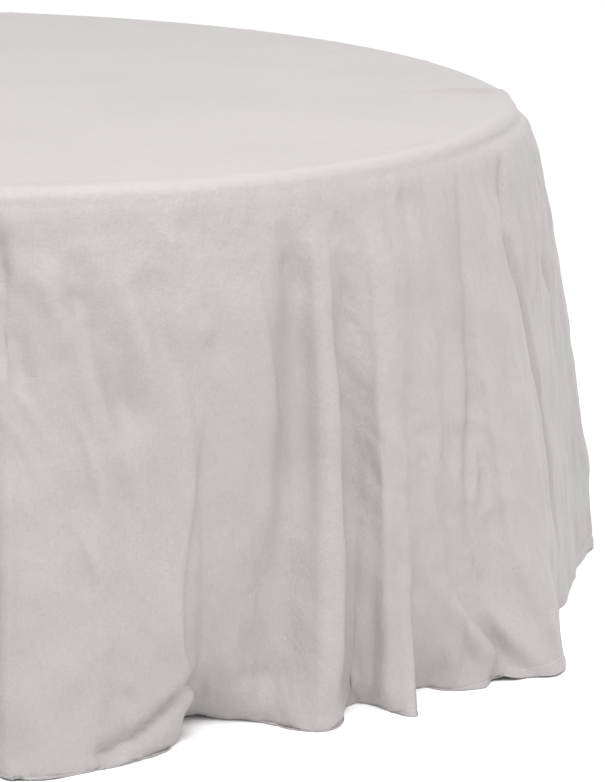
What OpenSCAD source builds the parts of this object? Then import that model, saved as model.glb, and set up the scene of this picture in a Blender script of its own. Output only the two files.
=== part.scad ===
// Floor-length round tablecloth on a round folding banquet table.
// Millimetres, +Z up. The origin is on the floor, under the middle of the table.
// Each leg set folds inwards, towards the middle, and has a two-link brace along y = 0.
// Left means -X and front means -Y. The left leg set is the right one mirrored.

/* [Table top] */
// Diameter of the top over its edge moulding
table_d = 1829; // [1780:1:1900]
// Height of the top above the floor
table_h = 762; // [740:1:780]
// Thickness of the plywood board
board_t = 18; // [15:0.5:21]
// Thickness of the laminate sheet on the board
laminate_t = 1; // [0.8:0.1:1.5]
// Radial thickness of the edge moulding's band
moulding_t = 4; // [3:0.5:5]

/* [Apron] */
// Distance from the middle to the inner face of the front and rear rails
apron_y = 379; // [370:1:385]
// Distance from the middle to the inner face of the left and right rails
apron_x = 780; // [775:1:785]
// Width of each rail
apron_w = 22; // [18:1:22]
// Height of each rail
apron_h = 50; // [45:1:60]

/* [Leg sets] */
// Distance from the middle to each leg set's hinge line
pivot_x = 730; // [728:1:740]
// Depth of the hinge line under the board
pivot_drop = 22; // [20:1:24]
// Distance from the middle to each leg
leg_y = 300; // [280:1:305]
// Outer diameter of the legs and the pivot tube
leg_d = 28.6; // [25:0.1:30]
// Outer diameter of the cross tubes
stretcher_d = 22; // [19:1:25]
// Wall of every tube
tube_wall = 1.5; // [1:0.1:2]
// Distance from the hinge line down to the upper cross tube
cross_tube_s = 95; // [90:1:98]
// Height of the lower stretcher above the floor
stretcher_z = 160; // [140:1:200]
// Outer diameter of a foot
foot_d = 36; // [34:1:38]
// Height of a foot
foot_h = 26; // [22:1:40]

/* [Braces] */
// Distance from the hinge line down the leg set to the brace's lower pivot
brace_s = 130; // [128:1:140]
// Distance from the hinge line inwards to the brace's upper pivot
brace_u = 350; // [330:1:380]
// Width of a brace link
link_w = 20; // [18:1:22]
// Thickness of a brace link, its lug and its anchor plate
link_t = 3; // [2.5:0.5:3]
// Diameter of the brace rivets
rivet_d = 8; // [6:0.5:8]

/* [Tablecloth] */
// Thickness of the fabric
cloth_t = 1; // [0.8:0.1:1.5]
// Number of flutes in the drop
flutes = 16; // [12:4:20]
// How far the hem stands out from the table's edge, on average
hem_out = 115; // [110:1:130]
// How far each flute swings in and out at the hem
flute_swing = 100; // [60:1:105]
// Height of the hem's edge above the floor
hem_z = 2; // [1:1:10]
// Height of the folded hem
hem_h = 18; // [15:1:25]
// Height of the row of stitches
stitch_h = 2; // [1.5:0.5:2.5]

/* [Hidden] */
$fn = 48;
gap = 0.3; // between parts that move past each other
fit = 0.1; // between a tube and what it turns or stands in
table_r = table_d / 2;
board_r = table_r - moulding_t;
under_z = table_h - laminate_t - board_t;
pivot_z = under_z - pivot_drop;
tongue_t = 2; // the moulding's tongue, in a groove round the board
tongue_l = 8;
tongue_z = under_z + board_t / 2;
moulding_corner = 2;

// Hinge brackets stand just outside the legs, on the ends of the pivot tube
bracket_t = 5;
bracket_y = leg_y + leg_d / 2 + 18;
bracket_r = leg_d / 2 + 6;
flange_t = 3;
flange_w = 28;
pivot_tube_y = bracket_y + bracket_t + 8;

// Screws: pan heads up into the board for the steel brackets, long ones through the apron
screw_r = 2.5;
screw_head_r = 4.5;
screw_head_h = 2.5;
screw_bite = 12;
apron_z = under_z - apron_h;
apron_screw_x = [-600, -200, 200, 600];
apron_screw_y = [-250, 250];
bracket_screw_x = 24;
anchor_screw_x = 14;

// Brace: straight at rest, and folded flat along the legs when they are up
anchor_x = pivot_x - brace_u;
lug_z = pivot_z - brace_s;
brace_angle = atan2(brace_s, brace_u);
brace_open = norm([brace_s, brace_u]);
brace_shut = brace_u - brace_s;
upper_link_l = (brace_open - brace_shut) / 2;
lower_link_l = (brace_open + brace_shut) / 2;
elbow_x = anchor_x + upper_link_l * cos(brace_angle);
elbow_z = pivot_z - upper_link_l * sin(brace_angle);
link_y = 1.5; // from y = 0 to the inner face of either link
link_hole_r = rivet_d / 2 + fit;
rivet_head_r = 7;
rivet_head_h = 1.2;
washer_r = 8;
plate_y = link_y + link_t + gap; // the inner face of the lug and of the anchor plate

// Cloth: it lies a little off the table, and turns down round the moulding's corner
cloth_gap = 1;
cloth_z = table_h + cloth_gap + cloth_t;
round_r = moulding_corner + cloth_gap + cloth_t;
edge_r = table_r - moulding_corner + round_r;
wall_top = cloth_z - round_r;
flare_power = 1.25; // flutes grow faster than straight lines
flute_points = 8;
around = flutes * flute_points;
ring_depths = [0.1, 0.25, 0.45, 0.65, 0.83]; // shares of the drop
stitch_z = hem_z + hem_h;
ring_z = concat([for (f = ring_depths) wall_top - f * (wall_top - hem_z)], [stitch_z + stitch_h, stitch_z, hem_z]);
label_w = 30;
label_h = 45;
label_t = 0.6;

// ---- Helpers ----

// Child, or its mirror image for the left side
module on_side(side) {
  if (side == "left") mirror([1, 0, 0]) children();
  else children();
}

// Cylinder along +Y from y = 0
module along_y(r, h) {
  rotate([-90, 0, 0]) cylinder(r = r, h = h);
}

// Hollow tube along Z
module tube(d, h) {
  difference() {
    cylinder(d = d, h = h);
    translate([0, 0, -1]) cylinder(d = d - 2 * tube_wall, h = h + 2);
  }
}

// Flat bar in the XZ plane from [0, 0] to [l, 0], with round ends and a hole at each end
module link_bar(l) {
  difference() {
    union() {
      translate([0, 0, -link_w / 2]) cube([l, link_t, link_w]);
      for (x = [0, l]) translate([x, 0, 0]) along_y(link_w / 2, link_t);
    }
    for (x = [0, l]) translate([x, -1, 0]) along_y(link_hole_r, link_t + 2);
  }
}

// Rivet along +Y: a flat head at y = 0 and a shank that ends in a second head when it has one
module rivet(shank, two_heads) {
  translate([0, -rivet_head_h, 0]) along_y(rivet_head_r, rivet_head_h);
  along_y(rivet_d / 2, shank);
  if (two_heads) translate([0, shank, 0]) along_y(rivet_head_r, rivet_head_h);
}

// ---- Table top ----

module screw_holes() {
  at_bracket_screws() cylinder(r = screw_r, h = screw_bite);
  at_apron_screws() translate([0, 0, under_z - 1]) cylinder(r = screw_r, h = screw_bite + 1);
}

module top_board() {
  color("burlywood") difference() {
    translate([0, 0, under_z]) cylinder(r = board_r, h = board_t);
    rotate_extrude() translate([board_r - tongue_l, tongue_z - tongue_t / 2])
      square([tongue_l + 1, tongue_t]);
    screw_holes();
  }
}

module top_laminate() {
  color("tan") translate([0, 0, under_z + board_t]) cylinder(r = board_r, h = laminate_t);
}

// T-section strip: a band with rounded corners, and a tongue in the board's groove
module edge_moulding() {
  c = moulding_corner;
  color("dimgray") rotate_extrude() {
    translate([board_r, under_z]) square([moulding_t - c, board_t + laminate_t]);
    translate([board_r, under_z + c]) square([moulding_t, board_t + laminate_t - 2 * c]);
    for (z = [under_z + c, table_h - c]) translate([table_r - c, z]) circle(r = c);
    translate([board_r - tongue_l, tongue_z - tongue_t / 2]) square([tongue_l + 1, tongue_t]);
  }
}

// ---- Apron ----

module at_apron_screws() {
  for (x = apron_screw_x, s = [-1, 1]) translate([x, s * (apron_y + apron_w / 2), 0]) children();
  for (y = apron_screw_y, s = [-1, 1]) translate([s * (apron_x + apron_w / 2), y, 0]) children();
}

// Rail drilled for its screws, whose heads sit in counterbores underneath
module drilled_rail(size, corner) {
  color("peru") difference() {
    translate(corner) cube(size);
    at_apron_screws() {
      translate([0, 0, apron_z - 1]) cylinder(r = screw_r, h = apron_h + 2);
      translate([0, 0, apron_z - 1]) cylinder(r = screw_head_r, h = screw_head_h + 1);
    }
  }
}

module apron_long(front) {
  y = front ? -apron_y - apron_w : apron_y;
  drilled_rail([2 * (apron_x + apron_w), apron_w, apron_h], [-apron_x - apron_w, y, apron_z]);
}

module apron_short(side) {
  x = side == "left" ? -apron_x - apron_w : apron_x;
  drilled_rail([apron_w, 2 * apron_y, apron_h], [x, -apron_y, apron_z]);
}

module apron_screws() {
  color("silver") at_apron_screws() {
    translate([0, 0, apron_z]) cylinder(r = screw_head_r, h = screw_head_h);
    translate([0, 0, apron_z]) cylinder(r = screw_r, h = apron_h + screw_bite);
  }
}

// ---- Brackets and anchors under the board ----

// Places a child, which starts at the board's underside, at every bracket screw
module at_bracket_screws() {
  for (side = ["left", "right"]) on_side(side) translate([0, 0, under_z]) {
    for (s = [-1, 1], dx = [-bracket_screw_x, bracket_screw_x])
      translate([pivot_x + dx, s * (bracket_y + bracket_t + flange_w / 2), 0]) children();
    for (dx = [-anchor_screw_x, anchor_screw_x])
      translate([anchor_x + dx, -plate_y - link_t - flange_w / 2, 0]) children();
  }
}

module flange_holes() {
  at_bracket_screws() translate([0, 0, -flange_t - 1]) cylinder(r = screw_r, h = flange_t + 2);
}

// Upright plate with a bore for the pivot tube, and a flange under the board
module hinge_bracket(side, rear) {
  flange_l = 2 * bracket_screw_x + 24;
  color("gray") difference() {
    on_side(side) mirror([0, rear ? 0 : 1, 0]) difference() {
      union() {
        translate([pivot_x - bracket_r, bracket_y, pivot_z])
          cube([2 * bracket_r, bracket_t, pivot_drop]);
        translate([pivot_x, bracket_y, pivot_z]) along_y(bracket_r, bracket_t);
        translate([pivot_x - flange_l / 2, bracket_y, under_z - flange_t])
          cube([flange_l, bracket_t + flange_w, flange_t]);
      }
      translate([pivot_x, bracket_y - 1, pivot_z]) along_y(leg_d / 2 + fit, bracket_t + 2);
    }
    flange_holes();
  }
}

// Upright plate that holds the brace's upper pivot, and its flange
module brace_anchor(side) {
  plate_r = link_w / 2 + 2;
  flange_l = 2 * anchor_screw_x + 20;
  color("gray") difference() {
    on_side(side) difference() {
      union() {
        translate([anchor_x - plate_r, -plate_y - link_t, pivot_z])
          cube([2 * plate_r, link_t, pivot_drop]);
        translate([anchor_x, -plate_y - link_t, pivot_z]) along_y(plate_r, link_t);
        translate([anchor_x - flange_l / 2, -plate_y - link_t - flange_w, under_z - flange_t])
          cube([flange_l, link_t + flange_w, flange_t]);
      }
      translate([anchor_x, -plate_y - link_t - 1, pivot_z]) along_y(rivet_d / 2, link_t + 2);
    }
    flange_holes();
  }
}

module bracket_screws() {
  color("silver") at_bracket_screws() {
    translate([0, 0, -flange_t - screw_head_h]) cylinder(r = screw_head_r, h = screw_head_h);
    translate([0, 0, -flange_t - 1]) cylinder(r = screw_r, h = flange_t + 1 + screw_bite);
  }
}

module anchor_rivet(side) {
  color("silver") on_side(side) translate([anchor_x, -plate_y - link_t, pivot_z])
    rivet(plate_y + link_t - link_y, true);
}

// ---- Leg sets ----

// Hollow tube along Y between the legs, cut to their roundness
module between_legs(x, z, d) {
  difference() {
    translate([x, -leg_y, z]) rotate([-90, 0, 0]) tube(d, 2 * leg_y);
    for (s = [-1, 1]) translate([x, s * leg_y, z - d]) cylinder(d = leg_d + 2 * fit, h = 2 * d);
  }
}

module pivot_tube(side) {
  color("dimgray") on_side(side) translate([pivot_x, -pivot_tube_y, pivot_z])
    rotate([-90, 0, 0]) tube(leg_d, 2 * pivot_tube_y);
}

// Leg cut to the pivot tube's roundness at the top, and standing in its foot
module leg(side, rear) {
  foot_floor = 6;
  y = rear ? leg_y : -leg_y;
  color("dimgray") on_side(side) difference() {
    translate([pivot_x, y, foot_floor]) tube(leg_d, pivot_z - foot_floor);
    translate([pivot_x, y - leg_d, pivot_z]) along_y(leg_d / 2 + fit, 2 * leg_d);
  }
}

module foot(side, rear) {
  foot_floor = 6;
  y = rear ? leg_y : -leg_y;
  color("black") on_side(side) translate([pivot_x, y, 0]) rotate_extrude() difference() {
    polygon([[0, 0], [foot_d / 2 - 2, 0], [foot_d / 2, 2], [foot_d / 2 - 1, foot_h], [0, foot_h]]);
    translate([-1, foot_floor]) square([leg_d / 2 + fit + 1, foot_h]);
  }
}

module cross_tube(side) {
  color("dimgray") on_side(side) between_legs(pivot_x, pivot_z - cross_tube_s, stretcher_d);
}

module stretcher(side) {
  color("dimgray") on_side(side) between_legs(pivot_x, stretcher_z, stretcher_d);
}

// Plate hanging from the cross tube, with the brace's lower pivot at its end
module brace_lug(side) {
  lug_r = link_w / 2;
  color("gray") on_side(side) translate([pivot_x, plate_y, lug_z]) difference() {
    union() {
      translate([-lug_r, 0, 0]) cube([2 * lug_r, link_t, brace_s - cross_tube_s]);
      along_y(lug_r, link_t);
    }
    translate([0, -1, brace_s - cross_tube_s]) along_y(stretcher_d / 2 + fit, link_t + 2);
    translate([0, -1, 0]) along_y(rivet_d / 2, link_t + 2);
  }
}

module lug_rivet(side) {
  color("silver") on_side(side) translate([pivot_x, link_y, lug_z])
    rivet(plate_y + link_t - link_y, true);
}

// ---- Braces ----

module upper_link(side) {
  color("lightslategray") on_side(side) translate([anchor_x, -link_y - link_t, pivot_z])
    rotate([0, brace_angle, 0]) link_bar(upper_link_l);
}

module lower_link(side) {
  color("lightslategray") on_side(side) translate([elbow_x, link_y, elbow_z])
    rotate([0, brace_angle, 0]) link_bar(lower_link_l);
}

// Half of the elbow's pivot, in the upper link
module elbow_pin(side) {
  color("silver") on_side(side) translate([elbow_x, -link_y - link_t, elbow_z])
    rivet(link_t, false);
}

// Other half of the elbow's pivot, in the lower link
module elbow_collar(side) {
  color("silver") on_side(side) mirror([0, 1, 0]) translate([elbow_x, -link_y - link_t, elbow_z])
    rivet(link_t, false);
}

module elbow_washer(side) {
  color("gold") on_side(side) translate([elbow_x, -link_y, elbow_z])
    along_y(washer_r, 2 * link_y - gap);
}

// ---- Tablecloth ----

// Radius of the cloth's outer face at angle a, a share f of the way down the drop
function cloth_r(a, f) =
  edge_r + pow(f, flare_power) * (hem_out + flute_swing * cos(flutes * a));

// Layer n is n fabrics in from the outer face. Points at angle a, as [radius, height].
function shoulder(n) =
  [for (turn = [0, 45, 90]) let (r = round_r - n * cloth_t)
    [edge_r - round_r + r * sin(turn), wall_top + r * cos(turn)]];
function wall(a, n, heights) =
  [for (z = heights) let (f = (wall_top - z) / (wall_top - hem_z))
    [cloth_r(a, f) - n * cloth_t, z]];
function backwards(v) = [for (i = [len(v) - 1:-1:0]) v[i]];

// Closed ring whose section at angle a is profile(a): down one face, and back up the other.
// The two faces are split into triangles alike, so that the fabric is even.
module ring_solid(profile) {
  m = len(profile(0));
  points = [for (k = [0:around - 1]) let (a = k * 360 / around)
    for (p = profile(a)) [p[0] * cos(a), p[0] * sin(a), p[1]]];
  faces = [for (k = [0:around - 1], j = [0:m - 1])
    let (here = k * m, next = (k + 1) % around * m, j1 = (j + 1) % m)
      each (j < m / 2
        ? [[here + j, here + j1, next + j1], [here + j, next + j1, next + j]]
        : [[here + j, here + j1, next + j], [here + j1, next + j1, next + j]])];
  polyhedron(points = points, faces = faces);
}

module cloth_top() {
  r = edge_r - round_r;
  color("gainsboro") translate([0, 0, cloth_z - cloth_t]) linear_extrude(cloth_t)
    polygon([for (k = [0:around - 1]) let (a = k * 360 / around) [r * cos(a), r * sin(a)]]);
}

module cloth_drop() {
  color("gainsboro") ring_solid(function (a) concat(
    shoulder(0), wall(a, 0, ring_z), backwards(concat(shoulder(1), wall(a, 1, ring_z)))));
}

// The hem's second layer, turned up inside the drop
module cloth_hem() {
  color("lightgray") ring_solid(function (a) concat(
    wall(a, 1, [stitch_z, hem_z]), backwards(wall(a, 2, [stitch_z, hem_z]))));
}

module hem_stitching() {
  thread = 0.5;
  edges = [stitch_z + stitch_h, stitch_z];
  color("whitesmoke") ring_solid(function (a) concat(
    wall(a, -thread, edges), backwards(wall(a, 0, edges))));
}

// Blank satin tab, sewn into the hem on the inside, where a flute comes nearest the table
module care_label() {
  valley = 180 / flutes;
  lean = 4;
  color("white") rotate([0, 0, valley])
    translate([cloth_r(valley, 1) - 1.5 * cloth_t, 0, hem_z + hem_h / 2]) rotate([0, -lean, 0])
      translate([-label_t / 2, -label_w / 2, 0]) cube([label_t, label_w, label_h]);
}

top_board();
top_laminate();
edge_moulding();
apron_long(true);  // apron_front
apron_long(false);  // apron_rear
apron_short("left");  // apron_left
apron_short("right");  // apron_right
apron_screws();
hinge_bracket("left", false);  // hinge_bracket_left_front
hinge_bracket("left", true);  // hinge_bracket_left_rear
hinge_bracket("right", false);  // hinge_bracket_right_front
hinge_bracket("right", true);  // hinge_bracket_right_rear
brace_anchor("left");  // brace_anchor_left
brace_anchor("right");  // brace_anchor_right
bracket_screws();
anchor_rivet("left");  // anchor_rivet_left
anchor_rivet("right");  // anchor_rivet_right
pivot_tube("left");  // pivot_tube_left
leg("left", false);  // leg_left_front
leg("left", true);  // leg_left_rear
cross_tube("left");  // cross_tube_left
stretcher("left");  // stretcher_left
brace_lug("left");  // brace_lug_left
lug_rivet("left");  // lug_rivet_left
foot("left", false);  // foot_left_front
foot("left", true);  // foot_left_rear
pivot_tube("right");  // pivot_tube_right
leg("right", false);  // leg_right_front
leg("right", true);  // leg_right_rear
cross_tube("right");  // cross_tube_right
stretcher("right");  // stretcher_right
brace_lug("right");  // brace_lug_right
lug_rivet("right");  // lug_rivet_right
foot("right", false);  // foot_right_front
foot("right", true);  // foot_right_rear
upper_link("left");  // upper_link_left
elbow_pin("left");  // elbow_pin_left
elbow_washer("left");  // elbow_washer_left
lower_link("left");  // lower_link_left
elbow_collar("left");  // elbow_collar_left
upper_link("right");  // upper_link_right
elbow_pin("right");  // elbow_pin_right
elbow_washer("right");  // elbow_washer_right
lower_link("right");  // lower_link_right
elbow_collar("right");  // elbow_collar_right
cloth_top();
cloth_drop();
cloth_hem();
hem_stitching();
care_label();
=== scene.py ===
"""Floor-length round tablecloth, draped over a round folding table."""
import math

import bpy
import numpy as np
from mathutils import Matrix, Vector


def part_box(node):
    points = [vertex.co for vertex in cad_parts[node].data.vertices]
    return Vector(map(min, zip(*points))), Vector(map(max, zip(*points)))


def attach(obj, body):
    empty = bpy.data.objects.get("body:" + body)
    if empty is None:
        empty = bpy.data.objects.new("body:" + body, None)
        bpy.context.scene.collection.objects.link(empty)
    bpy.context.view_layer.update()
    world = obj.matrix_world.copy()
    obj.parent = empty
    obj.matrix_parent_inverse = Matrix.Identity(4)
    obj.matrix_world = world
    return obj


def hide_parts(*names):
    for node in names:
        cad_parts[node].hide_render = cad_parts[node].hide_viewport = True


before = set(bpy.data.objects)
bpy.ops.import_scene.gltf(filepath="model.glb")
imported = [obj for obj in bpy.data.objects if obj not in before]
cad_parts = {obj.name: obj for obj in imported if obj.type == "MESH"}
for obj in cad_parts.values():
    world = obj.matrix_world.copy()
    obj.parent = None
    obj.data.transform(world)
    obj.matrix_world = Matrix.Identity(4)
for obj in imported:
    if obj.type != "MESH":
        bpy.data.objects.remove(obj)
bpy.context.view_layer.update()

TAU = 2 * math.pi


# ---------------------------------------------------------------- camera, lights and floor

CAMERA_PLACE = (0, -4.77, 1.48)
CAMERA_TURNS = (7.38, 14.2, -1.64)      # yaw, pitch and roll in degrees
CAMERA_LENS = 139.4
SENSOR_WIDTH = 36
WORLD_COLOUR = (1.0, 0.995, 0.99)
WORLD_STRENGTH = 1.08
KEY_WATTS = 132


def make_camera():
    yaw, pitch, roll = (math.radians(v) for v in CAMERA_TURNS)
    up0 = Vector((0, 0, 1))
    ahead = Vector((math.sin(yaw), math.cos(yaw), 0))
    right = Vector((math.cos(yaw), -math.sin(yaw), 0))
    forward = ahead * math.cos(pitch) - up0 * math.sin(pitch)
    up = ahead * math.sin(pitch) + up0 * math.cos(pitch)
    x_axis = right * math.cos(roll) - up * math.sin(roll)
    y_axis = right * math.sin(roll) + up * math.cos(roll)
    data = bpy.data.cameras.new("camera")
    data.sensor_width = SENSOR_WIDTH
    data.lens = CAMERA_LENS
    camera = bpy.data.objects.new("camera", data)
    bpy.context.scene.collection.objects.link(camera)
    turn = Matrix((x_axis, y_axis, -forward)).transposed().to_4x4()
    turn.translation = Vector(CAMERA_PLACE)
    camera.matrix_world = turn
    bpy.context.scene.camera = camera


def area_light(name, place, target, size, watts, colour):
    """Round area light, turned towards a target."""
    data = bpy.data.lights.new(name, "AREA")
    data.shape = "DISK"
    data.size = size
    data.energy = watts
    data.color = colour
    light = bpy.data.objects.new(name, data)
    bpy.context.scene.collection.objects.link(light)
    light.location = place
    light.rotation_euler = (Vector(target) - Vector(place)).to_track_quat("-Z", "Y").to_euler()


def make_lights():
    """Pale, even studio light, and one soft key light from above the front."""
    world = bpy.data.worlds.new("studio")
    world.use_nodes = True
    background = world.node_tree.nodes["Background"]
    background.inputs["Color"].default_value = (*WORLD_COLOUR, 1)
    background.inputs["Strength"].default_value = WORLD_STRENGTH
    bpy.context.scene.world = world
    area_light("key", (0.5, -2.4, 4.5), (0.3, -0.4, 0.5), 1.8, KEY_WATTS, WORLD_COLOUR)
    view = bpy.context.scene.view_settings
    view.view_transform = "Standard"
    view.look = "None"


# ---------------------------------------------------------------- materials

def nodes_of(material):
    return material.node_tree.nodes, material.node_tree.links


def new_material(name, colour, roughness, **sockets):
    material = bpy.data.materials.new(name)
    material.use_nodes = True
    shader = material.node_tree.nodes["Principled BSDF"]
    shader.inputs["Base Color"].default_value = (*colour, 1)
    shader.inputs["Roughness"].default_value = roughness
    for key, value in sockets.items():
        shader.inputs[key.replace("_", " ")].default_value = value
    return material, shader


def colour_ramp(nodes, links, factor, stops):
    ramp = nodes.new("ShaderNodeValToRGB")
    elements = ramp.color_ramp.elements
    for k, (place, colour) in enumerate(stops):
        e = elements[k] if k < 2 else elements.new(place)
        e.position = place
        e.color = (*colour, 1)
    links.new(factor, ramp.inputs["Fac"])
    return ramp.outputs["Color"]


def math_node(nodes, links, kind, a, b=None):
    n = nodes.new("ShaderNodeMath")
    n.operation = kind
    for socket, value in zip(n.inputs, (a, b)):
        if value is None:
            continue
        if isinstance(value, (int, float)):
            socket.default_value = value
        else:
            links.new(value, socket)
    return n.outputs[0]


def multiply_add(nodes, links, value, factor, added):
    product = math_node(nodes, links, "MULTIPLY_ADD", value, factor)
    if isinstance(added, (int, float)):
        product.node.inputs[2].default_value = added
    else:
        links.new(added, product.node.inputs[2])
    return product


def object_place(nodes):
    return nodes.new("ShaderNodeTexCoord").outputs["Object"]


def bump(nodes, links, shader, height, distance, strength, after=None):
    n = nodes.new("ShaderNodeBump")
    n.inputs["Distance"].default_value = distance
    n.inputs["Strength"].default_value = strength
    links.new(height, n.inputs["Height"])
    if after:
        links.new(after, n.inputs["Normal"])
    if shader:
        links.new(n.outputs["Normal"], shader.inputs["Normal"])
    return n.outputs["Normal"]


def noise(nodes, links, vector, scale, detail=2.0, roughness=0.5):
    n = nodes.new("ShaderNodeTexNoise")
    n.inputs["Scale"].default_value = scale
    n.inputs["Detail"].default_value = detail
    n.inputs["Roughness"].default_value = roughness
    links.new(vector, n.inputs["Vector"])
    return n.outputs["Fac"]


def scaled(nodes, links, vector, factors):
    n = nodes.new("ShaderNodeMapping")
    n.inputs["Scale"].default_value = factors
    links.new(vector, n.inputs["Vector"])
    return n.outputs["Vector"]


# Sizes of the cloth, in metres
CUT_R = 1.6765          # the cloth is cut as a circle of this radius
TABLE_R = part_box("edge_moulding")[1].x
TABLE_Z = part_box("top_laminate")[1].z
REST = 0.0030           # the sheet's height above the laminate
TURN_R = 0.019          # its rounding over the table's edge
TURN_ARC = TURN_R * math.pi / 2
EDGE_R = TABLE_R + 0.008
SHIFT = 0.022           # the cloth lies this far off centre, towards SHIFT_AT
SHIFT_AT = math.radians(-50)
SLACK = 0.006           # the drop has stretched this much under its own weight
FLAT_SPAN = 3.5         # metres across the cloth's UV map
THREAD = 0.0007         # pitch of the weave's threads


def weave_height(nodes, links, across):
    """Height of a plain weave, from the places across the warp and across the weft."""
    half_turn = math.pi / THREAD
    crossed = []
    for place in across:
        turned = math_node(nodes, links, "MULTIPLY", place, half_turn)
        crossed.append(math_node(nodes, links, "SINE", turned))
    return math_node(nodes, links, "ABSOLUTE", math_node(nodes, links, "MULTIPLY", *crossed))


def painted_edge_highlight(nodes, links, metres, sideways):
    """Mask of a painted highlight: 1 where the cloth bends over the table's edge, fading out
    towards the right.
    """
    far = nodes.new("ShaderNodeVectorMath")
    far.operation = "DISTANCE"
    far.inputs[1].default_value = (FLAT_SPAN / 2, FLAT_SPAN / 2, 0)
    links.new(metres, far.inputs[0])
    band = colour_ramp(nodes, links, far.outputs["Value"], [
        (EDGE_R - 0.022, (0, 0, 0)), (EDGE_R - 0.014, (1, 1, 1)),
        (EDGE_R - 0.004, (0.7, 0.7, 0.7)), (EDGE_R + 0.03, (0, 0, 0)),
    ])
    from_middle = math_node(nodes, links, "SUBTRACT", sideways, FLAT_SPAN / 2)
    fade = colour_ramp(nodes, links, from_middle, [(0.68, (1, 1, 1)), (0.88, (0.15, 0.15, 0.15))])
    return math_node(nodes, links, "MULTIPLY", band, fade)


def cloth_material(name, colour):
    """Plain-woven polyester: warp and weft threads, slubs, small crumples, a soft sheen, and a
    painted highlight over the table's edge.
    """
    material, shader = new_material(
        name, colour, 0.44, Specular_IOR_Level=0.45, Sheen_Weight=0.04, Sheen_Roughness=0.5
    )
    nodes, links = nodes_of(material)
    uv = nodes.new("ShaderNodeUVMap")
    uv.uv_map = "flat"
    metres = scaled(nodes, links, uv.outputs["UV"], (FLAT_SPAN, FLAT_SPAN, 1))
    split = nodes.new("ShaderNodeSeparateXYZ")
    links.new(metres, split.inputs[0])
    weave = weave_height(nodes, links, (split.outputs[0], split.outputs[1]))
    warp = noise(nodes, links, scaled(nodes, links, metres, (520, 60, 1)), 1.0, 3.0, 0.6)
    weft = noise(nodes, links, scaled(nodes, links, metres, (60, 520, 1)), 1.0, 3.0, 0.6)
    slubs = math_node(nodes, links, "ADD", warp, weft)
    threads = math_node(nodes, links, "ADD", weave, slubs)
    grain = noise(nodes, links, metres, 420.0, 2.0, 0.6)
    crumple = noise(nodes, links, metres, 60.0, 4.0, 0.6)
    patchy = noise(nodes, links, metres, 4.0, 2.0)
    fine = math_node(nodes, links, "MULTIPLY", crumple, patchy)
    soft = bump(nodes, links, None, fine, 0.0036, 0.9)
    bump(nodes, links, shader, threads, 0.0002, 0.6, soft)
    # uneven yarn: from 10% darker to 8% lighter
    level = multiply_add(nodes, links, slubs, 1.1, -1.6)
    level = multiply_add(nodes, links, grain, 1.2, level)
    level = multiply_add(nodes, links, patchy, 0.8, level)
    # painted highlight: the colour is made lighter where the cloth bends over the table's edge
    band = painted_edge_highlight(nodes, links, metres, split.outputs[0])
    level = multiply_add(nodes, links, band, 0.7, level)
    tint = nodes.new("ShaderNodeMix")
    tint.data_type = "RGBA"
    tint.inputs[6].default_value = (*[c * 0.90 for c in colour], 1)
    tint.inputs[7].default_value = (*[c * 1.08 for c in colour], 1)
    links.new(level, tint.inputs[0])
    links.new(tint.outputs[2], shader.inputs["Base Color"])
    return material


def wood_material(name, light, dark, along="X"):
    material, shader = new_material(name, light, 0.55)
    nodes, links = nodes_of(material)
    place = object_place(nodes)
    stretch = {"X": (1.2, 26, 60), "Y": (26, 1.2, 60)}[along]
    grain = noise(nodes, links, scaled(nodes, links, place, stretch), 1.0, 5.0, 0.6)
    shade = colour_ramp(nodes, links, grain, [(0.3, dark), (0.7, light)])
    links.new(shade, shader.inputs["Base Color"])
    bump(nodes, links, shader, grain, 0.0004, 0.4)
    return material


def plywood_material(name):
    """Birch ply: veneer on the underside, dark and light plies on the edge."""
    material, shader = new_material(name, (0.55, 0.4, 0.24), 0.6)
    nodes, links = nodes_of(material)
    place = object_place(nodes)
    grain = noise(nodes, links, scaled(nodes, links, place, (1.5, 30, 700)), 1.0, 5.0, 0.6)
    stops = [(0.32, (0.42, 0.28, 0.15)), (0.68, (0.66, 0.50, 0.32))]
    links.new(colour_ramp(nodes, links, grain, stops), shader.inputs["Base Color"])
    bump(nodes, links, shader, grain, 0.0003, 0.5)
    return material


def painted_material(name, colour, roughness, metallic=0.0, scale=140.0):
    """Paint, plating or moulded plastic: fine orange peel and slightly uneven gloss."""
    material, shader = new_material(name, colour, roughness, Metallic=metallic)
    nodes, links = nodes_of(material)
    place = object_place(nodes)
    peel = noise(nodes, links, place, scale, 3.0)
    wear = noise(nodes, links, place, 9.0, 4.0, 0.6)
    spread = [(0.25, [c * 0.88 for c in colour]), (0.75, [min(1, c * 1.08) for c in colour])]
    links.new(colour_ramp(nodes, links, wear, spread), shader.inputs["Base Color"])
    gloss = multiply_add(nodes, links, wear, 0.2, roughness - 0.1)
    links.new(gloss, shader.inputs["Roughness"])
    bump(nodes, links, shader, peel, 0.0002, 0.5)
    return material


def satin_material(name):
    material, shader = new_material(name, (0.82, 0.81, 0.78), 0.35, Sheen_Weight=0.3)
    nodes, links = nodes_of(material)
    place = object_place(nodes)
    ribs = noise(nodes, links, scaled(nodes, links, place, (300, 300, 2600)), 1.0, 1.0)
    bump(nodes, links, shader, ribs, 0.0002, 0.5)
    shade = colour_ramp(nodes, links, ribs, [(0.2, (0.76, 0.75, 0.72)), (0.8, (0.86, 0.85, 0.82))])
    links.new(shade, shader.inputs["Base Color"])
    return material


# ---------------------------------------------------------------- the cloth's shape

SPOKES = 400            # of the simulated mesh; the finished one has twice as many
DROP_RINGS = 38
FINE_RINGS = 88         # of the finished mesh, from the table's edge to the hem
PINNED_TURNS = (0, 15, 30, 45, 60, 75, 90)      # rings on the rounding, in degrees
CURVE_STEPS = 12        # between two points of the hem's path
FLUTES_BEHIND = 15
SIM_FRAMES = 22

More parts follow.
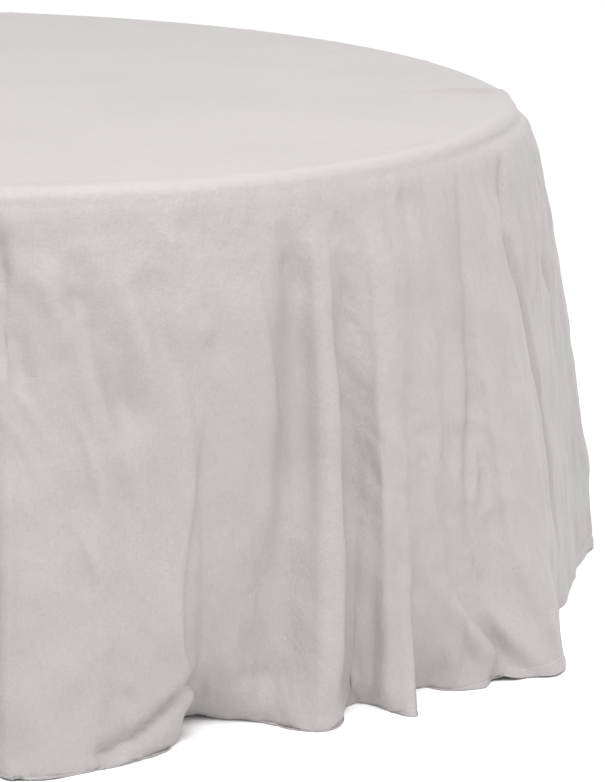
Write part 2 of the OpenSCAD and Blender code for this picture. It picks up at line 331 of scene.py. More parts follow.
# Where the hem runs in front: azimuth in degrees, radius in metres, and for some points the
# azimuth on the table's edge that they hang from
FRONT = [
    (-96, 1.04, None), (-92, 0.96, None), (-88, 0.93, -87.5), (-85.5, 0.97, None),
    (-83.8, 1.032, -83), (-81.4, 1.048, None), (-78, 1.035, None), (-74, 1.012, None),
    (-70.5, 0.982, -69.5), (-68.7, 0.955, None), (-68.1, 0.915, None), (-67, 0.888, None),
    (-65, 0.884, -66), (-62.5, 0.914, None), (-60.3, 0.968, None), (-58.3, 1.03, -56.5),
    (-56.8, 1.034, None), (-55.4, 1.018, None), (-54.2, 0.996, None), (-53, 0.972, None),
    (-51.8, 0.966, -52.5), (-50.5, 0.995, None), (-50.6, 1.035, None), (-50, 1.068, -47.5),
    (-49.5, 1.06, None), (-49.8, 1.02, None), (-48.8, 0.985, None), (-46.6, 0.98, -46),
    (-44.4, 1.0, None), (-43.4, 1.045, -42.5), (-41.4, 1.07, None), (-39.4, 1.062, None),
    (-37.2, 1.10, None), (-35, 1.133, -34.5), (-32, 1.12, None), (-29, 1.08, None),
    (-24, 1.056, -24), (-17, 1.052, None), (-11, 1.06, -12), (-7, 1.07, None),
    (-4, 1.094, None), (-1, 1.118, -3), (2, 1.10, None), (4, 1.05, None), (5.5, 0.99, None),
]
FRONT_END = 8.0
# How late each fold grows: below 1 it starts at the table's edge, above 1 near the hem
GROWTH = [
    (-96, 1.0), (-84, 1.0), (-76, 1.6), (-71, 4.0), (-69, 7.0), (-62, 7.0), (-59, 2.0),
    (-56, 1.2), (-53, 1.8), (-49.5, 1.3), (-46.5, 8.0), (-42, 8.0), (-37, 2.0), (-24, 1.0),
    (10, 0.8),
]


def flutes_behind(start, end, count, rng):
    """Hem points of the flutes that the front view doesn't show."""
    widths = rng.uniform(0.55, 1.5, count)
    edges = start + np.concatenate([[0], np.cumsum(widths / widths.sum() * (end - start))])
    points = []
    for a, b in zip(edges, edges[1:]):
        middle, wide = (a + b) / 2, b - a
        lean = rng.uniform(-0.18, 0.18) * wide
        ridge, valley = rng.uniform(1.05, 1.125), rng.uniform(0.92, 0.975)
        points += [
            (a, valley, a),
            (a + 0.18 * wide + lean * 0.2, valley + 0.3 * (ridge - valley), None),
            (middle - 0.17 * wide + lean, ridge - rng.uniform(-0.02, 0.05), None),
            (middle + 0.17 * wide + lean, ridge, None),
            (b - 0.2 * wide + lean * 0.3, valley + 0.4 * (ridge - valley), None),
        ]
    return points


def closed_curve(points, steps):
    """Smooth closed plane curve through the points (centripetal Catmull-Rom)."""
    turns = [math.radians(a) for a, _, _ in points]
    p = np.array([[r * math.cos(t), r * math.sin(t)] for t, (_, r, _) in zip(turns, points)])
    n = len(p)
    gaps = np.linalg.norm(np.roll(p, -1, 0) - p, axis=1) ** 0.5
    curve = []
    for k in range(n):
        q0, q1, q2, q3 = (p[(k + j) % n] for j in (-1, 0, 1, 2))
        g0, g1, g2 = gaps[k - 1], gaps[k], gaps[(k + 1) % n]
        t0, t1, t2, t3 = 0, g0, g0 + g1, g0 + g1 + g2
        for t in np.linspace(t1, t2, steps, endpoint=False):
            a1 = ((t1 - t) * q0 + (t - t0) * q1) / (t1 - t0)
            a2 = ((t2 - t) * q1 + (t - t1) * q2) / (t2 - t1)
            a3 = ((t3 - t) * q2 + (t - t2) * q3) / (t3 - t2)
            b1 = ((t2 - t) * a1 + (t - t0) * a2) / (t2 - t0)
            b2 = ((t3 - t) * a2 + (t - t1) * a3) / (t3 - t1)
            curve.append(((t2 - t) * b1 + (t - t1) * b2) / (t2 - t1))
    return np.array(curve)


def drop_lengths(angles):
    """How much cloth hangs below the rounding at each spoke."""
    return CUT_R - (EDGE_R - TURN_R + TURN_ARC) + SHIFT * np.cos(angles - SHIFT_AT) + SLACK


def wrapped(degrees):
    return (degrees + 180) % 360 - 180


def round_mean(values, angles, spread):
    """Values round the loop, blurred over a spread in degrees."""
    apart = (angles[:, None] - angles + math.pi) % TAU - math.pi
    share = np.gradient(np.append(angles, angles[0] + TAU))[:-1]
    weights = np.exp(-0.5 * (apart / math.radians(spread)) ** 2) * share
    return weights / weights.sum(1, keepdims=True) @ values


def spoke_angles(first):
    """Azimuths of the spokes: half of them in the front, where the folds are tight."""
    dense = math.radians(360 / SPOKES) / 100
    fine = first + np.arange(0, TAU, dense)
    front = in_front(fine, FRONT[0][0], FRONT_END, 10)
    per_step = np.cumsum(1 / 350 + front * (1 / 150 - 1 / 350))
    return np.interp(np.arange(SPOKES) / SPOKES * per_step[-1], per_step, fine)


def along_azimuth(angles, stops):
    """Values set at some azimuths, in degrees, and eased between them."""
    places, values = zip(*stops)
    a = (np.degrees(angles) - places[0]) % 360 + places[0]
    return np.interp(a, [*places, places[0] + 360], [*values, values[0]])


def in_front(angles, start, end, blur=6.0):
    """1 between two azimuths in degrees, and 0 elsewhere, with soft ends."""
    a = wrapped(np.degrees(angles))
    rising = smooth_step(a, start - blur, start + blur)
    return rising * (1 - smooth_step(a, end - blur, end + blur))


def hem_path():
    """The spokes' azimuths, and the point of the hem's path that hangs from each spoke."""
    behind = flutes_behind(FRONT_END, 360 + FRONT[0][0], FLUTES_BEHIND, np.random.default_rng(4))
    points = FRONT + behind
    curve = closed_curve(points, CURVE_STEPS)
    steps = np.linalg.norm(np.roll(curve, -1, 0) - curve, axis=1)
    along = np.concatenate([[0], np.cumsum(steps)])
    closed = np.vstack([curve, curve[:1]])
    hung = [(a, k * CURVE_STEPS) for k, (_, _, a) in enumerate(points) if a is not None]
    from_az = [a for a, _ in hung] + [hung[0][0] + 360]
    from_along = [along[k] for _, k in hung] + [along[-1] + along[hung[0][1]]]
    angles = spoke_angles(math.radians(from_az[0]))
    where = np.interp(np.degrees(angles), from_az, from_along) % along[-1]
    return angles, np.stack([np.interp(where, along, closed[:, k]) for k in (0, 1)], 1)


def seeded_drop():
    """The drop as rings of points, from the table's edge down, and each point's flat place."""
    angles, hem = hem_path()
    outward = np.stack([np.cos(angles), np.sin(angles)], 1)
    # at the right, the cloth stands off the table's edge before it turns down
    proud = 0.016 * np.exp(-((wrapped(np.degrees(angles) + 8) / 14) ** 2))
    edge = (EDGE_R + proud)[:, None] * outward
    flare = round_mean(np.linalg.norm(hem, axis=1), angles, 11) - EDGE_R - proud
    swing = hem - edge - outward * flare[:, None]
    flare_power = 0.70 - 0.12 * in_front(angles, -30, 15)
    swing_power = along_azimuth(angles, GROWTH)
    lengths = drop_lengths(angles)
    rings, flat = [], []
    top_z = TABLE_Z + REST
    for turn in PINNED_TURNS:
        t = math.radians(turn)
        r = EDGE_R - TURN_R + TURN_R * math.sin(t)
        z = top_z - TURN_R + TURN_R * math.cos(t)
        rings.append(np.column_stack([outward * (r + proud)[:, None], np.full(SPOKES, z)]))
        flat.append(EDGE_R + proud - TURN_R + TURN_R * t)
    z = np.full(SPOKES, top_z - TURN_R)
    before = edge
    step = lengths / DROP_RINGS
    for k in range(1, DROP_RINGS + 1):
        share = k / DROP_RINGS
        start = smooth_step(share, 0, 0.12)
        here = edge + outward * (flare * share**flare_power)[:, None]
        here = here + swing * (share**swing_power * start)[:, None]
        moved = np.linalg.norm(here - before, axis=1)
        z = np.maximum(z - np.sqrt(np.maximum(step**2 - moved**2, (0.35 * step) ** 2)), 0.004)
        rings.append(np.column_stack([here, z]))
        flat.append(EDGE_R + proud - TURN_R + TURN_ARC + share * (lengths - proud))
        before = here
    return np.array(rings), np.array(flat), angles


def loop_faces(rings, spokes):
    k, i = np.meshgrid(np.arange(rings - 1), np.arange(spokes), indexing="ij")
    j = (i + 1) % spokes
    here, below = k * spokes, (k + 1) * spokes
    return np.stack([here + i, below + i, below + j, here + j], -1).reshape(-1, 4)


def give_flat_map(made, flat_xy):
    """UV map of the cut cloth lying flat, from each vertex's flat place in metres."""
    layer = made.data.uv_layers.new(name="flat")
    corners = np.empty(len(made.data.loops), np.int32)
    made.data.loops.foreach_get("vertex_index", corners)
    layer.data.foreach_set("uv", (flat_xy[corners] / FLAT_SPAN + 0.5).ravel())


def mesh_object(name, points, faces):
    data = bpy.data.meshes.new(name)
    data.from_pydata([tuple(p) for p in points], [], [tuple(int(v) for v in f) for f in faces])
    data.polygons.foreach_set("use_smooth", [True] * len(data.polygons))
    data.update()
    made = bpy.data.objects.new(name, data)
    bpy.context.scene.collection.objects.link(made)
    return made


def square(name, half):
    corners = [(-half, -half, 0), (half, -half, 0), (half, half, 0), (-half, half, 0)]
    return mesh_object(name, corners, [(0, 1, 2, 3)])


def settled(rings):
    """The rings after the cloth has fallen for a moment, onto the table and the floor."""
    scene = bpy.context.scene
    count, spokes = rings.shape[:2]
    sheet = mesh_object("settling", rings.reshape(-1, 3), loop_faces(count, spokes))
    pinned = sheet.vertex_groups.new(name="pinned")
    pinned.add(list(range(len(PINNED_TURNS) * spokes)), 1.0, "REPLACE")
    cloth = sheet.modifiers.new("cloth", "CLOTH")
    s = cloth.settings
    s.quality = 8
    s.mass = 0.12
    s.tension_stiffness = s.compression_stiffness = 40
    s.shear_stiffness = 8
    s.bending_stiffness = 1.0
    s.tension_damping = s.compression_damping = s.shear_damping = 6
    s.bending_damping = 0.5
    s.air_damping = 3
    s.vertex_group_mass = "pinned"
    cloth.collision_settings.distance_min = 0.004
    cloth.collision_settings.use_self_collision = False
    cloth.point_cache.frame_start, cloth.point_cache.frame_end = 1, SIM_FRAMES
    floor = square("settling_floor", 2)
    bpy.ops.mesh.primitive_cylinder_add(
        vertices=128, radius=TABLE_R - 0.003, depth=0.02, location=(0, 0, TABLE_Z - 0.0115)
    )
    table = bpy.context.object
    for solid, friction in ((floor, 20), (table, 5)):
        solid.modifiers.new("collision", "COLLISION")
        solid.collision.thickness_outer = 0.002
        solid.collision.cloth_friction = friction
    for number in range(1, SIM_FRAMES + 1):
        scene.frame_set(number)
    done = sheet.evaluated_get(bpy.context.evaluated_depsgraph_get())
    fallen = np.empty(rings.size, np.float32)
    done.data.vertices.foreach_get("co", fallen)
    for used in (sheet, floor, table):
        bpy.data.objects.remove(used, do_unlink=True)
    scene.frame_set(1)
    return fallen.reshape(rings.shape).astype(float)


def creases_of(moved, angles):
    """The simulation's small folds: without its broad sag, and within a limit."""
    limit = 0.013 - 0.006 * in_front(angles, FRONT[0][0], FRONT_END)
    limit = (limit - 0.004 * in_front(angles, -38, 2))[None, :, None]
    broad = np.stack([round_mean(row, angles, 5) for row in moved])
    small = moved - broad
    small[:, :, 2] *= 0.5
    length = np.linalg.norm(small, axis=2, keepdims=True)
    return small * limit / (limit + length)


def doubled(values):
    """Twice as many points round every ring, on a smooth curve through the old ones."""
    near = values + np.roll(values, -1, 1)
    between = (9 * near - np.roll(values, 1, 1) - np.roll(values, -2, 1)) / 16
    return np.stack([values, between], 2).reshape(values.shape[0], -1, *values.shape[2:])


def at_depths(values, places):
    """Rings at fractional places down the drop, by Catmull-Rom between the known ones."""
    n = len(values)
    made = []
    for place in places:
        k = min(int(place), n - 2)
        t = place - k
        a, b = values[k], values[k + 1]
        before = values[k - 1] if k else 2 * a - b
        after = values[k + 2] if k + 2 < n else 2 * b - a
        made.append(
            0.5 * (2 * a + (b - before) * t + (2 * before - 5 * a + 4 * b - after) * t**2
                   + (3 * a - before - 3 * b + after) * t**3)
        )
    return np.array(made)


def waves(x, y, length, count, seed):
    """Smooth random field of about that wavelength, from -1 to 1 or so."""
    rng = np.random.default_rng(seed)
    field = np.zeros_like(x)
    for _ in range(count):
        turn = rng.uniform(-math.pi, math.pi)
        k = TAU / (length * rng.uniform(0.7, 1.5))
        field += np.cos(k * (x * math.cos(turn) + y * math.sin(turn)) + rng.uniform(0, TAU))
    return field * math.sqrt(2 / count)


def smooth_step(x, a, b):
    t = np.clip((x - a) / (b - a), 0, 1)
    return t * t * (3 - 2 * t)


# Folds and creases that cross the drop in front. Each has its path, as (azimuth in degrees,
# share of the height down from the top, strength), its widths on the left and right, and its
# height, all in metres. The fold lies inwards where the height is negative.
STROKES = [
    ([(-82.9, 0.38, 0), (-83.2, 0.6, 1), (-83.5, 1.0, 0.5)], 0.022, 0.030, 0.010),
    ([(-84.6, 0.03, 0.5), (-84.2, 0.1, 1), (-83, 0.24, 0.8), (-81, 0.42, 0)],
     0.034, 0.018, -0.020),
    ([(-82.0, 0.05, 0.3), (-79.3, 0.19, 1), (-77, 0.33, 1), (-74.8, 0.44, 1),
      (-71.5, 0.66, 0)], 0.024, 0.020, 0.010),
    ([(-78.8, 0.12, 0), (-75.4, 0.28, 1), (-74.4, 0.36, 1), (-73, 0.46, 0)], 0.026, 0.026, -0.010),
    ([(-75.8, 0.08, 0), (-72.4, 0.27, 1), (-69, 0.46, 0)], 0.020, 0.016, 0.008),
    ([(-72.6, 0.13, 0), (-70.6, 0.26, 1), (-68, 0.4, 0)], 0.020, 0.020, -0.007),
    ([(-78, 0.40, 0), (-75.7, 0.55, 1), (-72.4, 0.68, 0)], 0.010, 0.008, 0.006),
    ([(-76.6, 0.40, 0), (-74.4, 0.53, 1), (-71.5, 0.64, 0)], 0.010, 0.010, -0.005),
    ([(-74.6, 0.40, 0), (-72.6, 0.52, 1), (-70.6, 0.60, 0)], 0.008, 0.008, 0.005),
    ([(-66.6, 0.36, 0), (-68.3, 0.54, 0.7), (-69.4, 0.70, 1), (-69.5, 0.80, 1),
      (-68.3, 0.91, 0.9)], 0.034, 0.006, 0.009),
    ([(-67.6, 0.07, 0), (-67.7, 0.25, 1), (-66.5, 0.4, 0)], 0.018, 0.022, 0.007),
    ([(-67, 0.22, 0), (-66.6, 0.26, 1), (-66, 0.30, 0)], 0.014, 0.014, 0.006),
    ([(-59, 0.07, 0), (-57.6, 0.2, 0.7), (-57.8, 0.34, 1), (-58.1, 0.5, 1), (-59, 0.7, 0.4),
      (-60, 0.9, 0.4)], 0.034, 0.028, -0.024),
    ([(-62.4, 0.10, 0.3), (-61.3, 0.25, 1), (-60.2, 0.40, 1), (-59.2, 0.56, 0)],
     0.030, 0.008, 0.007),
    ([(-61.8, 0.58, 0), (-61.2, 0.72, 1), (-61.6, 0.9, 0.8)], 0.028, 0.034, -0.014),
    ([(-55.1, 0.05, 0), (-54.8, 0.2, 0.6), (-55.1, 0.4, 1), (-55.6, 0.6, 1), (-56, 0.85, 0.7),
      (-56.2, 1, 0)], 0.030, 0.013, 0.018),
    ([(-52, 0.12, 0), (-52.2, 0.32, 1), (-52.2, 0.55, 1), (-52.4, 0.72, 0)], 0.034, 0.022, -0.014),
    ([(-51.6, 0.62, 0), (-51.8, 0.78, 1), (-52, 0.95, 1), (-52, 1, 0.5)], 0.028, 0.024, 0.014),
    ([(-47, 0.06, 0), (-47.6, 0.24, 1), (-47.8, 0.5, 1), (-47.6, 0.8, 0)], 0.024, 0.020, 0.010),
    ([(-45.6, 0.04, 0), (-44.3, 0.08, 1), (-43, 0.16, 0)], 0.018, 0.026, -0.007),
    ([(-53.4, 0.16, 0), (-52, 0.22, 1), (-50.3, 0.29, 0)], 0.006, 0.006, -0.005),
    ([(-55, 0.28, 0), (-53, 0.34, 1), (-50.6, 0.42, 0)], 0.006, 0.006, -0.005),
    ([(-52.6, 0.24, 0), (-51.4, 0.28, 1), (-50.2, 0.33, 0)], 0.005, 0.005, -0.004),
    ([(-35.3, 0.02, 0.4), (-37, 0.24, 1), (-38, 0.47, 1), (-40, 0.66, 1), (-39.5, 0.8, 0)],
     0.014, 0.006, -0.007),
    ([(-25.4, 0.02, 0.5), (-28.8, 0.19, 1), (-27, 0.33, 1), (-23.4, 0.56, 1), (-20, 0.85, 0.3)],
     0.016, 0.006, -0.014),
    ([(-31, 0.03, 0), (-33, 0.3, 1), (-31.5, 0.6, 1), (-30, 0.9, 0)], 0.016, 0.016, 0.006),
    ([(-13.5, 0.04, 0.4), (-12.8, 0.16, 1), (-16, 0.3, 0.8), (-14, 0.6, 0)], 0.012, 0.008, -0.012),
    ([(-22.6, 0.12, 0), (-22.4, 0.2, 1), (-23.6, 0.3, 1), (-25, 0.38, 0)], 0.014, 0.012, 0.012),
    ([(-43.8, 0.78, 0), (-41.4, 0.9, 1), (-38.4, 1.0, 0.8)], 0.015, 0.014, 0.019),
    ([(-40.4, 0.80, 0), (-37.6, 0.92, 1), (-35.6, 1.0, 0.7)], 0.015, 0.016, 0.016),
    ([(-84.5, 0.36, 0), (-82.6, 0.42, 1), (-79.6, 0.55, 0)], 0.005, 0.004, 0.0035),
    ([(-85, 0.28, 0), (-81.8, 0.37, 1), (-78.6, 0.50, 0)], 0.005, 0.004, 0.0035),
    ([(-80.8, 0.48, 0), (-78.2, 0.58, 1), (-75.6, 0.72, 0)], 0.005, 0.005, 0.004),
    ([(-79.4, 0.34, 0), (-77.6, 0.42, 1), (-75.6, 0.55, 0)], 0.005, 0.004, 0.0035),
    ([(-76.2, 0.56, 0), (-73.8, 0.66, 1), (-71.6, 0.80, 0)], 0.005, 0.005, 0.0035),
    ([(-68.4, 0.885, 0.8), (-70.5, 0.925, 1), (-72.8, 0.95, 1), (-75.5, 0.968, 1),
      (-78.5, 0.975, 0)], 0.010, 0.010, -0.014),
]


def stroke(angle, share, path, left, right, high):
    """How far each point is pushed out by one stroke, from its azimuth and share of height."""
    # the drop is measured on a cylinder of about its own size
    radius, height = 0.98, 0.755
    u, v = radius * angle, height * share
    best = np.full(u.shape, 1e9)
    push = np.zeros_like(u)
    for (a0, s0, w0), (a1, s1, w1) in zip(path, path[1:]):
        u0, v0 = radius * math.radians(a0), height * s0
        du, dv = radius * math.radians(a1) - u0, height * s1 - v0
        long = math.hypot(du, dv)
        t = np.clip(((u - u0) * du + (v - v0) * dv) / long**2, 0, 1)
        off_u, off_v = u - u0 - t * du, v - v0 - t * dv
        far = np.hypot(off_u, off_v)
        wide = np.where(off_u * dv - off_v * du > 0, right, left)
        eased = t * t * (3 - 2 * t)
        value = high * (w0 + (w1 - w0) * eased) * np.exp(-((far / wide) ** 2))
        push = np.where(far < best, value, push)
        best = np.minimum(best, far)
    return push


HEM = 0.018             # height of the turned-up hem
# The last rings, by their distance above the hem's lower edge
HEM_DEPTHS = (0.040, 0.030, 0.0235, 0.0195, 0.0180, 0.0165, 0.0130, 0.0080, 0.0030, 0.0)
HEM_TOP = 4             # which of them is the top of the hem,
STITCH_LINE = 5         # and which carries the stitches
LOWERED = 0.0036        # how far the hem is let down onto the floor


def grid_normals(rings):
    """Outward normals of the rings' points."""
    down = np.gradient(rings, axis=0)
    round_ = np.roll(rings, -1, 1) - np.roll(rings, 1, 1)
    n = np.cross(down, round_)
    return n / np.maximum(np.linalg.norm(n, axis=2, keepdims=True), 1e-12)


def surface_moves(x, y, depth, to_edge, azimuth, share):
    """How far each point of the drop moves outwards: folds, wrinkles, creases and the hem.

    x and y are its place in the flat cloth, depth its distance from the table's edge, to_edge
    its distance from the hem's lower edge, and share runs from 0 at the top to 1 on the floor.
    """
    free = smooth_step(depth, 0.0, 0.06)
    # soft diagonal wrinkles, and the facets of a cloth that was folded and carried
    soft = waves(x, y, 0.11, 24, 11) * 0.0012
    broad, narrow = np.abs(waves(x, y, 0.09, 18, 12)), np.abs(waves(x, y, 0.05, 18, 13))
    facets = broad * -0.0012 + narrow * -0.0006
    patches = smooth_step(waves(x, y, 0.5, 12, 14), -0.4, 1.0)
    lift = free * (soft + facets * (0.35 + 0.9 * patches))
    fading = smooth_step(depth, 0.004, 0.05)
    for path, left, right, high in STROKES:
        lift += stroke(azimuth, share, path, left, right, high) * fading
    # the hem: a second layer under the fabric, drawn in along its stitches, and puckered
    band = smooth_step(HEM - to_edge, -0.0010, 0.0030)
    stitch = np.exp(-(((to_edge - HEM + 0.0008) / 0.0016) ** 2))
    pucker = 0.0005 * waves(x, y, 0.016, 16, 15) * np.exp(-np.abs(to_edge - HEM) / 0.012)
    lift += 0.0006 * band - 0.0007 * stitch + pucker
    for a, b, wide, high in PRESSED:
        lift += pressed(x, y, a, b, wide, high)
    return lift


def draped_cloth():
    """The finished drop: its rings of points, their flat radii, and the spokes' azimuths."""
    rings, flat, angles = seeded_drop()
    rings = rings + creases_of(settled(rings) - rings, angles)
    fixed = len(PINNED_TURNS)
    rings = doubled(rings)
    flat = doubled(flat[:, :, None])[:, :, 0]
    around = doubled(np.stack([np.cos(angles), np.sin(angles)], 1)[None])[0]
    angles = np.arctan2(around[:, 1], around[:, 0])
    drop = (flat[-1] - flat[fixed - 1]).mean()
    per_metre = DROP_RINGS / drop
    last = fixed - 1 + DROP_RINGS
    hem_places = [last - d * per_metre for d in HEM_DEPTHS]
    main = np.linspace(fixed - 1, hem_places[0], FINE_RINGS)[:-1]
    places = list(range(fixed - 1)) + list(main) + hem_places
    rings, flat = at_depths(rings, places), at_depths(flat, places)
    normals = grid_normals(rings)
    x, y = flat * np.cos(angles), flat * np.sin(angles)
    depth = np.maximum(flat - flat[fixed - 1], 0)
    azimuth = np.arctan2(rings[:, :, 1], rings[:, :, 0])
    share = (rings[0, 0, 2] - rings[:, :, 2]) / rings[0, 0, 2]
    lift = surface_moves(x, y, depth, flat[-1] - flat, azimuth, share)
    rings = rings + normals * lift[:, :, None]
    rings[:, :, 2] -= LOWERED * share**8
    rings[:, :, 2] = np.maximum(rings[:, :, 2], 0.0005)
    return rings, flat, angles


def pressed(x, y, a, b, wide, high):
    """Ridge left by a fold, from a to b, fading away at b."""
    ax, ay = a
    dx, dy = b[0] - ax, b[1] - ay
    long = math.hypot(dx, dy)
    along = ((x - ax) * dx + (y - ay) * dy) / long
    off = ((x - ax) * dy - (y - ay) * dx) / long
    fade = smooth_step(along, -0.03, 0.01) * (1 - smooth_step(along, 0.35 * long, long))
    return high * fade * np.exp(-((off / wide) ** 2))


# Creases pressed into the top: start and end on the flat cloth, width and height, in metres
PRESSED = [
    ((0.935, -0.018), (0.70, -0.075), 0.006, 0.0032),
    ((0.935, -0.036), (0.68, -0.100), 0.006, 0.0030),
    ((0.17, 0.894), (0.14, 0.66), 0.007, 0.0012),
    ((0.705, 0.435), (0.675, 0.334), 0.007, 0.0010),
    ((0.603, 0.703), (0.569, 0.645), 0.007, 0.0012),
    ((0.863, 0.324), (0.826, 0.25), 0.007, 0.0012),
]


def top_surface(first_ring, angles):
    """The flat part inside the first ring, with fewer spokes towards the middle."""
    radius = EDGE_R - TURN_R
    proud = np.hypot(first_ring[:, 0], first_ring[:, 1]) - radius
    # inner radius, number of rings, and one spoke kept out of how many
    plan = [(0.80, 11, 1), (0.50, 12, 2), (0.26, 8, 4), (0.10, 5, 8), (0.02, 3, 16)]
    points, faces = [], []
    previous = list(range(len(angles)))
    start = len(angles)
    for inner, rings, step in plan:
        radii = np.linspace(radius, inner, rings + 1)[1:]
        for r in radii:
            used = angles[::step]
            n = len(used)
            ring = list(range(start, start + n))
            start += n
            reach = r + proud[::step] * smooth_step(r, 0.78, EDGE_R - TURN_R)
            points += [(q * math.cos(a), q * math.sin(a)) for q, a in zip(reach, used)]
            m = len(previous)
            for i in range(n):
                j = (i + 1) % n
                if m == n:
                    faces.append((previous[i], previous[j], ring[j], ring[i]))
                else:
                    a, b, c = (previous[(2 * i + k) % m] for k in range(3))
                    faces += [(a, b, ring[i]), (b, c, ring[j], ring[i])]
            previous = ring
        radius = inner
    centre = start
    points.append((0, 0))
    n = len(previous)
    faces += [(previous[i], previous[(i + 1) % n], centre) for i in range(n)]
    xy = np.array(points)
    x, y = xy[:, 0], xy[:, 1]
    inside = smooth_step(EDGE_R - TURN_R - np.hypot(x, y), 0, 0.03)
    lift = 0.0006 * (waves(x, y, 0.30, 18, 21) + 1.2) * inside
    lift += 0.0004 * np.abs(waves(x, y, 0.12, 16, 22)) * inside
    for a, b, wide, high in PRESSED:
        lift += pressed(x, y, a, b, wide, high)
    z = TABLE_Z + REST + lift
    return np.column_stack([xy, z]), faces, xy


def cloth_piece():
    rings, flat, angles = draped_cloth()
    spokes = len(angles)
    top, top_faces, top_flat = top_surface(rings[0], angles)
    faces = [tuple(f) for f in top_faces]
    # the first ring comes first, then the top, then the rest of the drop
    offset = len(top)
    wall = loop_faces(len(rings), spokes)
    wall = np.where(wall < spokes, wall, wall + offset)
    faces += [tuple(f) for f in wall.tolist()]
    points = np.vstack([rings[0], top, rings[1:].reshape(-1, 3)])
    x, y = flat * np.cos(angles), flat * np.sin(angles)
    flat_xy = np.vstack([
        np.column_stack([x[0], y[0]]), top_flat, np.column_stack([x[1:].ravel(), y[1:].ravel()])
    ])
    cloth = mesh_object("tablecloth", points, faces)
    give_flat_map(cloth, flat_xy)
    return cloth, rings, flat, angles


# ---------------------------------------------------------------- hem, stitches and label

def closed_strip(name, section):
    """Closed loop of a section given as rings of points round the cloth."""
    count, spokes = section.shape[:2]
    quads = loop_faces(count, spokes)
    i = np.arange(spokes)
    j = (i + 1) % spokes
    end = (count - 1) * spokes
    seam = np.stack([end + i, i, j, end + j], 1)
    return mesh_object(name, section.reshape(-1, 3), np.vstack([quads, seam]))


def hem_piece(rings, normals, flat, angles):
    """The turned-up layer, inside the drop, with its rounded lower fold."""
    picks = [k - len(HEM_DEPTHS) for k in range(HEM_TOP, len(HEM_DEPTHS))]
    inward = [rings[k] - normals[k] * 0.0016 for k in picks]
    outward = [rings[k] - normals[k] * 0.0004 for k in picks]
    down = rings[-1] - rings[-2]
    low = rings[-1] - normals[-1] * 0.0010
    low = low + down / np.linalg.norm(down, axis=1)[:, None] * 0.0007
    section = np.array(outward + [low] + inward[::-1])
    section[:, :, 2] = np.maximum(section[:, :, 2], 0.0002)
    made = closed_strip("turned_hem", section)
    spread = flat[picks + [-1] + picks[::-1]]
    flat_xy = np.stack([spread * np.cos(angles), spread * np.sin(angles)], 2)
    give_flat_map(made, flat_xy.reshape(-1, 2))
    return made


STITCH_PITCH = 0.0034
STITCH_LENGTH = 0.0027
STITCH_RADIUS = 0.00028
# Places along a stitch, as shares of its length, and the shares of its radius there
SPINDLE = ((-0.5, 0.0), (-0.36, 0.75), (0.0, 1.0), (0.36, 0.75), (0.5, 0.0))


def stitch_piece(rings, normals):
    """One small spindle of thread for each stitch, along the top of the hem."""
    row = len(rings) - len(HEM_DEPTHS) + STITCH_LINE
    line, away = rings[row], normals[row]
    steps = np.linalg.norm(np.roll(line, -1, 0) - line, axis=1)
    along = np.concatenate([[0], np.cumsum(steps)])
    count = int(along[-1] / STITCH_PITCH)
    points, faces = [], []
    loop = np.vstack([line, line[:1]])
    out = np.vstack([away, away[:1]])
    for k in range(count):
        middle = (k + 0.5) * along[-1] / count
        places = [middle + s * STITCH_LENGTH for s, _ in SPINDLE]
        here = np.stack([np.interp(places, along, loop[:, c]) for c in range(3)], 1)
        n = np.array([np.interp(middle, along, out[:, c]) for c in range(3)])
        n /= np.linalg.norm(n)
        ahead = here[-1] - here[0]
        side = np.cross(n, ahead)
        side /= np.linalg.norm(side)
        base = len(points)
        points.append(here[0])
        for (_, r), p in list(zip(SPINDLE, here))[1:-1]:
            centre = p + n * STITCH_RADIUS * 0.6
            up, across = n * STITCH_RADIUS * r, side * STITCH_RADIUS * r
            points += [centre + up, centre + across, centre - up, centre - across]
        points.append(here[-1])
        for q in range(4):
            w = (q + 1) % 4
            faces.append((base, base + 1 + q, base + 1 + w))
            for a in (base + 1, base + 5):
                faces.append((a + q, a + 4 + q, a + 4 + w, a + w))
            faces.append((base + 9 + q, base + 13, base + 9 + w))
    return mesh_object("lockstitch", points, faces)


LABEL_AT = math.radians(150)
LABEL_SPOKES = 6        # its width
LABEL_LENGTH = 0.042
LABEL_LAYERS = (0.0024, 0.0032)     # behind the fabric's face


def label_piece(rings, normals, angles):
    """Small blank tab of satin, folded, standing up from the hem on the inside."""
    row = len(rings) - len(HEM_DEPTHS) + HEM_TOP
    middle = int(np.argmin(np.abs(angles - LABEL_AT)))
    columns = [(middle + k - LABEL_SPOKES // 2) for k in range(LABEL_SPOKES + 1)]
    layers = []
    for side in LABEL_LAYERS:
        rows = []
        for t in np.linspace(0, 1, 9):
            curl = 0.004 * math.sin(math.pi * t) + 0.006 * t * t
            base = rings[row, columns]
            rise = (rings[row - 6, columns] - base)
            rise /= np.linalg.norm(rise, axis=1)[:, None]
            rows.append(base + rise * LABEL_LENGTH * t - normals[row, columns] * (side + curl))
        layers.append(rows)
    grid = np.array(layers[0] + layers[1][::-1])
    count, wide = grid.shape[:2]
    faces = []
    for k in range(count):
        here, after = k * wide, (k + 1) % count * wide
        faces += [(here + i, after + i, after + i + 1, here + i + 1) for i in range(wide - 1)]
    for i, turn in ((0, 1), (wide - 1, -1)):
        for k in range(count // 2 - 1):
            far = count - 1 - k
            face = (k * wide + i, (k + 1) * wide + i, (far - 1) * wide + i, far * wide + i)
            faces.append(face[::turn])
    return mesh_object("label_tab", grid.reshape(-1, 3), faces)


# ---------------------------------------------------------------- the scene

make_camera()
make_lights()

floor = square("floor", 30)
paper, _ = new_material("floor_paper", (0.91, 0.91, 0.91), 0.9, Specular_IOR_Level=0.1)
floor.data.materials.append(paper)

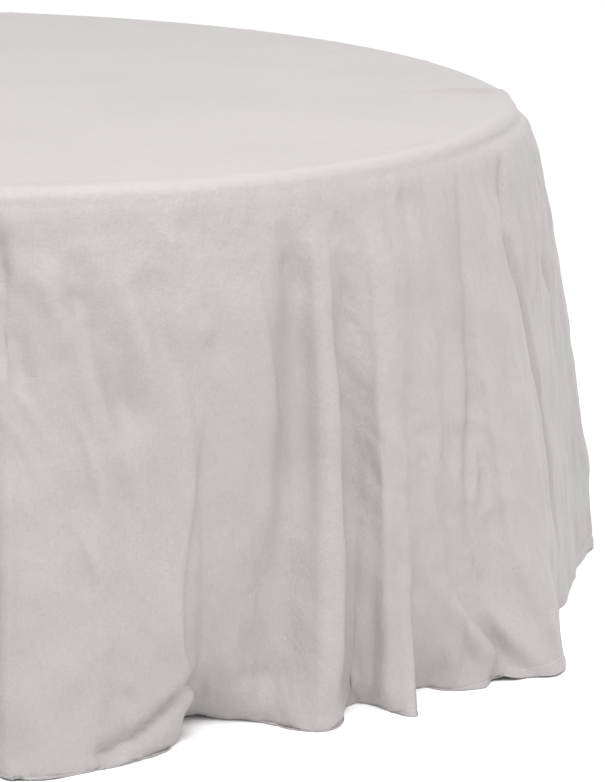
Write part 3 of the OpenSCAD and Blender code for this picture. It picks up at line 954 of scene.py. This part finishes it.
FABRIC = (0.402, 0.378, 0.380)
WOOD = ((0.56, 0.42, 0.27), (0.38, 0.26, 0.15))
materials = {
    "tablecloth_fabric": cloth_material("tablecloth_fabric", FABRIC),
    "hem_fabric": cloth_material("hem_fabric", FABRIC),
    "sewing_thread": painted_material("sewing_thread", (0.74, 0.72, 0.72), 0.6, scale=3000.0),
    "label_satin": satin_material("label_satin"),
    "plywood": plywood_material("plywood"),
    "laminate": painted_material("laminate", (0.60, 0.52, 0.42), 0.35, scale=400.0),
    "edge_vinyl": painted_material("edge_vinyl", (0.035, 0.032, 0.03), 0.45),
    "apron_wood": wood_material("apron_wood", *WOOD),
    "apron_wood_across": wood_material("apron_wood_across", *WOOD, "Y"),
    "leg_paint": painted_material("leg_paint", (0.10, 0.095, 0.09), 0.4),
    "bracket_steel": painted_material("bracket_steel", (0.33, 0.33, 0.34), 0.4, 0.9),
    "zinc_hardware": painted_material("zinc_hardware", (0.62, 0.63, 0.64), 0.32, 1.0),
    "washer_brass": painted_material("washer_brass", (0.70, 0.52, 0.24), 0.35, 1.0),
    "foot_rubber": painted_material("foot_rubber", (0.03, 0.03, 0.03), 0.75, scale=600.0),
}

cloth, rings, flat, angles = cloth_piece()
normals = grid_normals(rings)
cloth.data.materials.append(materials["tablecloth_fabric"])
hem = hem_piece(rings, normals, flat, angles)
hem.data.materials.append(materials["hem_fabric"])
stitches = stitch_piece(rings, normals)
stitches.data.materials.append(materials["sewing_thread"])
label = label_piece(rings, normals, angles)
label.data.materials.append(materials["label_satin"])

for piece, slot, replaced in (
    (cloth, "tablecloth_fabric", ("cloth_top", "cloth_drop")),
    (hem, "hem_fabric", ("cloth_hem",)),
    (stitches, "sewing_thread", ("hem_stitching",)),
    (label, "label_satin", ("care_label",)),
):
    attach(piece, "cloth")
    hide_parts(*replaced)

SLOTS = {
    "top_board": "plywood", "top_laminate": "laminate", "edge_moulding": "edge_vinyl",
    "apron_front": "apron_wood", "apron_rear": "apron_wood",
    "apron_left": "apron_wood_across", "apron_right": "apron_wood_across",
    "apron_screws": "zinc_hardware", "bracket_screws": "zinc_hardware",
}
for side in ("left", "right"):
    for end in ("front", "rear"):
        SLOTS[f"hinge_bracket_{side}_{end}"] = "bracket_steel"
        SLOTS[f"leg_{side}_{end}"] = "leg_paint"
        SLOTS[f"foot_{side}_{end}"] = "foot_rubber"
    SLOTS[f"brace_anchor_{side}"] = SLOTS[f"brace_lug_{side}"] = "bracket_steel"
    SLOTS[f"upper_link_{side}"] = SLOTS[f"lower_link_{side}"] = "bracket_steel"
    SLOTS[f"pivot_tube_{side}"] = SLOTS[f"cross_tube_{side}"] = "leg_paint"
    SLOTS[f"stretcher_{side}"] = "leg_paint"
    SLOTS[f"anchor_rivet_{side}"] = SLOTS[f"lug_rivet_{side}"] = "zinc_hardware"
    SLOTS[f"elbow_pin_{side}"] = SLOTS[f"elbow_collar_{side}"] = "zinc_hardware"
    SLOTS[f"elbow_washer_{side}"] = "washer_brass"

for node_name, slot in SLOTS.items():
    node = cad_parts[node_name]
    node.data.materials.clear()
    node.data.materials.append(materials[slot])
